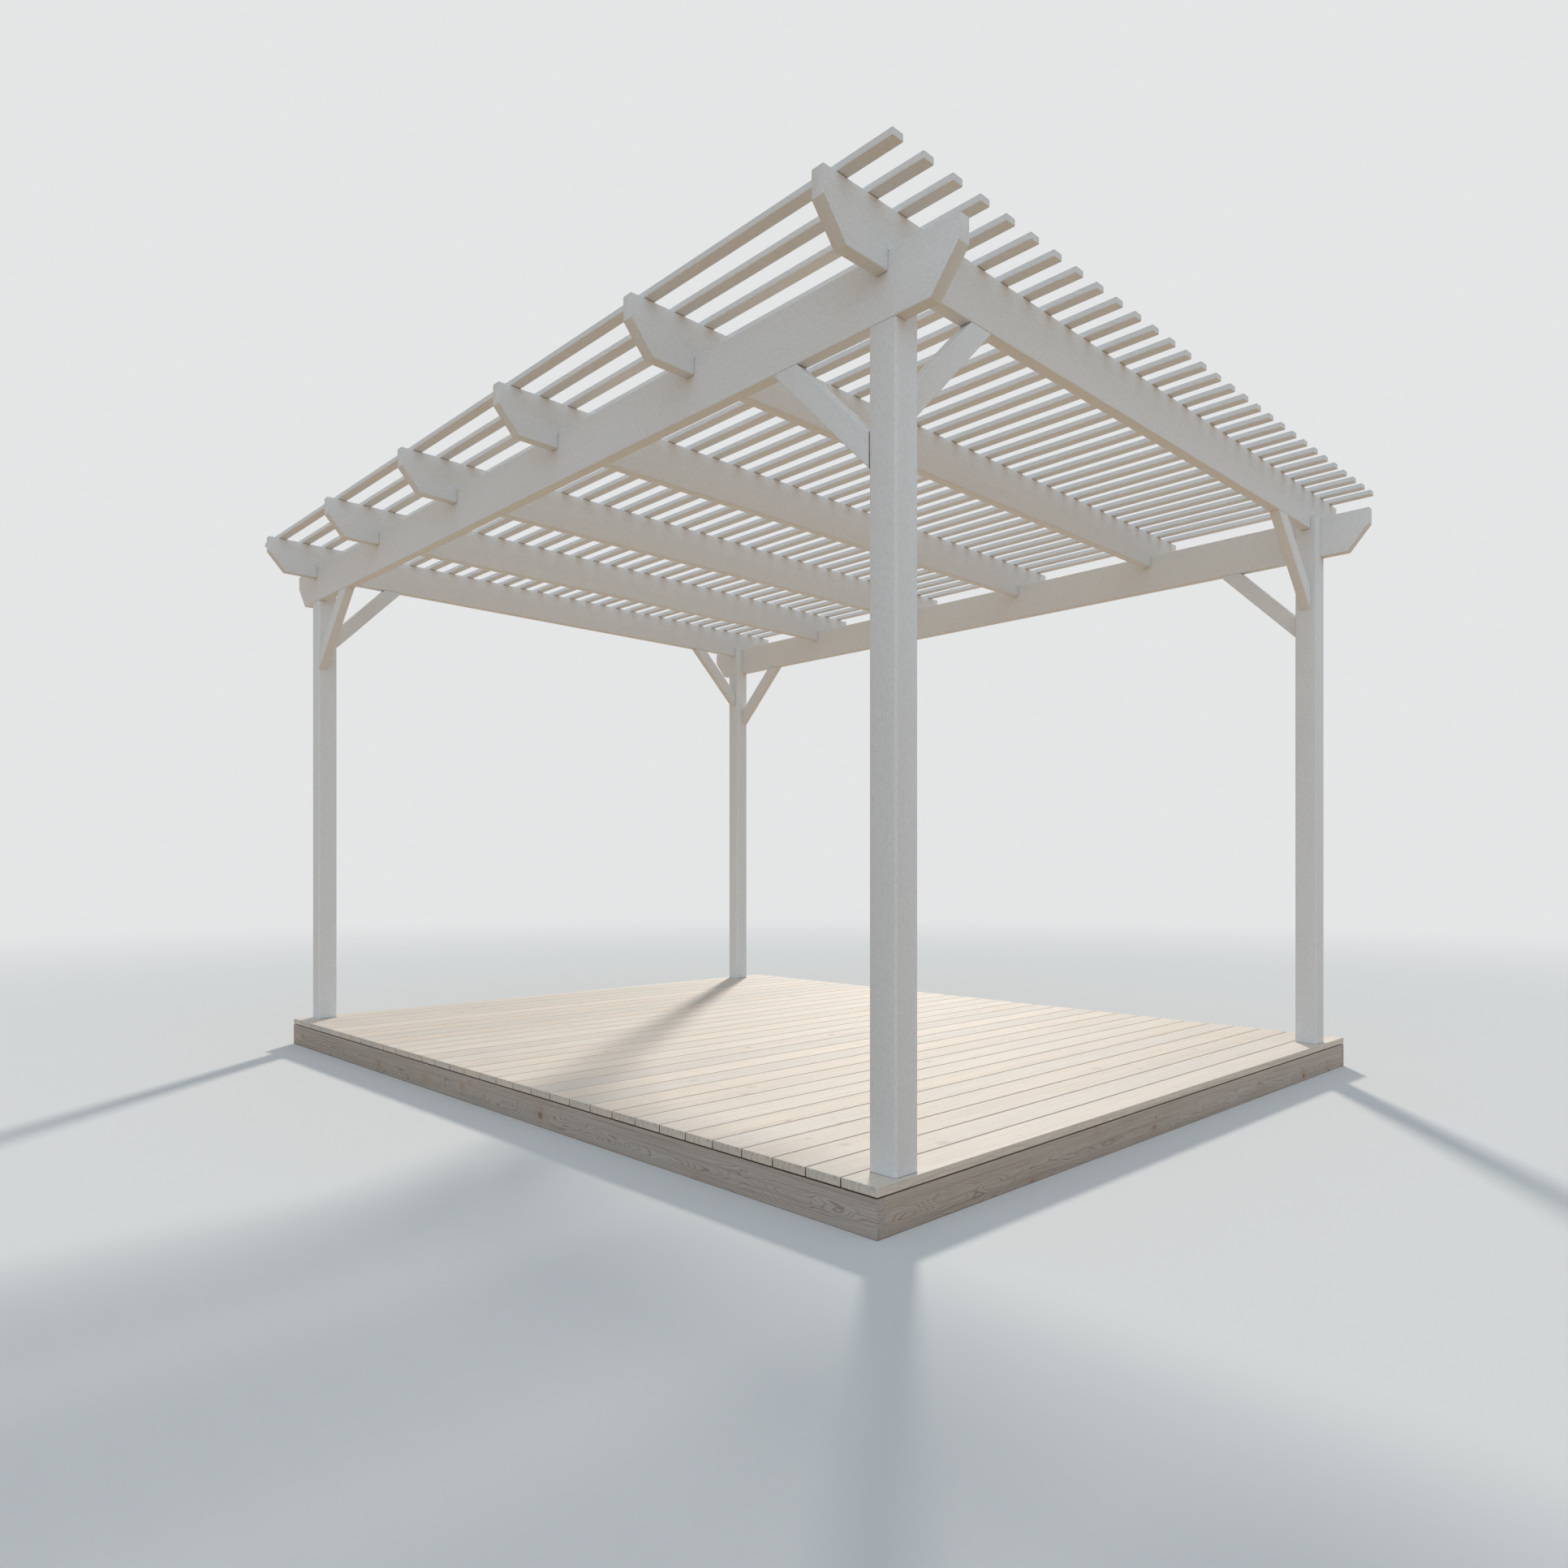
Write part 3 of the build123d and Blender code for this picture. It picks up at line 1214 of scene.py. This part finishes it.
@dataclass(frozen=True)
class Lamp:
    """A lamp so far off that its light is even.

    The bearing is counted in degrees from the back towards the left, and the spread is how wide
    the lamp looks from the pergola.
    """

    name: str
    bearing: float
    height: float
    spread: float
    strength: float
    colour: Colour
    distance: float = 8.0

    def hang(self) -> bpy.types.Object:
        """Makes the lamp and turns it towards the pergola.

        Returns:
            The lamp.
        """
        data = bpy.data.lights.new(self.name, "SUN")
        data.angle = math.radians(self.spread)
        data.energy = self.strength
        data.color = self.colour
        lamp = new_object(self.name, data)
        bearing, height = math.radians(self.bearing), math.radians(self.height)
        level = math.cos(height)
        towards = Vector((-math.sin(bearing) * level, math.cos(bearing) * level, math.sin(height)))
        lamp.location = towards * self.distance
        lamp.rotation_euler = (-towards).to_track_quat("-Z", "Y").to_euler()
        return lamp


@dataclass
class Studio:
    """The floor, the background, the lamps and the camera.

    The horizon is how far down the frame eye level lies, where frame_size is the frame's whole
    height. The floor melts into the background over the distances of floor_fade, in metres.
    """

    camera_place: Vector = field(default_factory=lambda: Vector((4.0342, -3.8523, 0.9988)))
    camera_bearing: float = 46.05
    camera_tilt: float = 90.0
    lens: float = 23.993
    sensor: float = 36.0
    frame_size: float = 1932.0
    horizon: float = 1070.01
    sight: float = 320.0
    floor_half: float = 80.0
    floor_fade: Band = Band(5.0, 16.0)
    floor_colour: Colour = (0.735, 0.715, 0.69)
    floor_bounce: Colour = (0.53, 0.375, 0.235)
    background: Colour = (0.78, 0.785, 0.79)
    round_colour: Colour = (0.87, 0.94, 1.0)
    round_strength: float = 0.41
    key: Lamp = Lamp(
        "key_lamp",
        bearing=39.2,
        height=28.0,
        spread=5.0,
        strength=2.6,
        colour=(1.0, 0.955, 0.89),
    )
    fill: Lamp = Lamp(
        "fill_lamp",
        bearing=232.0,
        height=24.0,
        spread=120.0,
        strength=1.45,
        colour=(0.60, 0.80, 1.0),
    )

    def unseen_by_light(self, wiring: Wiring) -> Socket:
        """Finds the rays that show the background: the camera's and those of gloss and glass.

        Args:
            wiring: The tree to add to.

        Returns:
            An output that is 1 for such a ray and 0 for one that carries light.
        """
        ray = wiring.node("ShaderNodeLightPath").outputs
        glossy = wiring.math("MAXIMUM", ray["Is Camera Ray"], ray["Is Glossy Ray"])
        return wiring.math("MAXIMUM", glossy, ray["Is Transmission Ray"])

    def surroundings(self) -> None:
        """Makes the even light from all round, with the pale background that the camera sees."""
        world = bpy.data.worlds.new("studio")
        wiring = fresh_wiring(world)
        bpy.context.scene.world = world
        take = {"Color": (*self.round_colour, 1.0), "Strength": self.round_strength}
        fill = wiring.node("ShaderNodeBackground", take)
        take = {"Color": (*self.background, 1.0), "Strength": 1.0}
        seen = wiring.node("ShaderNodeBackground", take)
        unseen = self.unseen_by_light(wiring)
        both = wiring.blend(unseen, fill.outputs[0], seen.outputs[0])
        wiring.node("ShaderNodeOutputWorld", {"Surface": both})

    def ground(self) -> bpy.types.Object:
        """Makes the pale floor, which melts into the background far from the pergola.

        Returns:
            The floor.
        """
        half = self.floor_half
        mesh = bpy.data.meshes.new("studio_floor")
        corners = [(-half, -half, 0), (half, -half, 0), (half, half, 0), (-half, half, 0)]
        mesh.from_pydata(corners, [], [(0, 1, 2, 3)])
        floor = new_object("studio_floor", mesh)
        material = bpy.data.materials.new("studio_floor")
        wiring = fresh_wiring(material)
        take = {"Vector": wiring.node("ShaderNodeTexCoord").outputs["Object"]}
        length = wiring.node("ShaderNodeVectorMath", take, operation="LENGTH")
        far = wiring.ramp(length.outputs["Value"], self.floor_fade)
        seen = self.unseen_by_light(wiring)
        take = {"Color": wiring.mix(seen, self.floor_bounce, self.floor_colour)}
        matt = wiring.node("ShaderNodeBsdfDiffuse", take)
        take = {"Color": (*self.background, 1.0), "Strength": 1.0}
        plain = wiring.node("ShaderNodeEmission", take)
        both = wiring.blend(wiring.times(far, seen), matt.outputs[0], plain.outputs[0])
        wiring.node("ShaderNodeOutputMaterial", {"Surface": both})
        mesh.materials.append(material)
        return floor

    def camera(self) -> bpy.types.Object:
        """Sets up the level camera.

        Returns:
            The camera.
        """
        data = bpy.data.cameras.new("camera")
        data.sensor_width = self.sensor
        data.lens = self.lens
        data.shift_y = (self.horizon - self.frame_size / 2) / self.frame_size
        data.clip_end = self.sight
        camera = new_object("camera", data)
        camera.location = self.camera_place
        turn = (math.radians(self.camera_tilt), 0.0, math.radians(self.camera_bearing))
        camera.rotation_euler = turn
        bpy.context.scene.camera = camera
        return camera

    def build(self) -> None:
        """Sets the whole studio up."""
        self.surroundings()
        self.ground()
        self.key.hang()
        self.fill.hang()
        self.camera()
        bpy.context.scene.view_settings.view_transform = "Standard"


def main() -> None:
    """Builds and dresses the pergola, from the ground up, and sets the studio up round it."""
    logging.basicConfig(level=logging.INFO, format="%(name)s: %(message)s")
    for assembly in (joists(), fascias(), Floor(), posts(), beams(), rafters(), braces(), Roof()):
        for piece in assembly.dress():
            log.info("%s: %d faces", piece.name, len(piece.data.polygons))
    Studio().build()


if __name__ == "__main__":
    main()
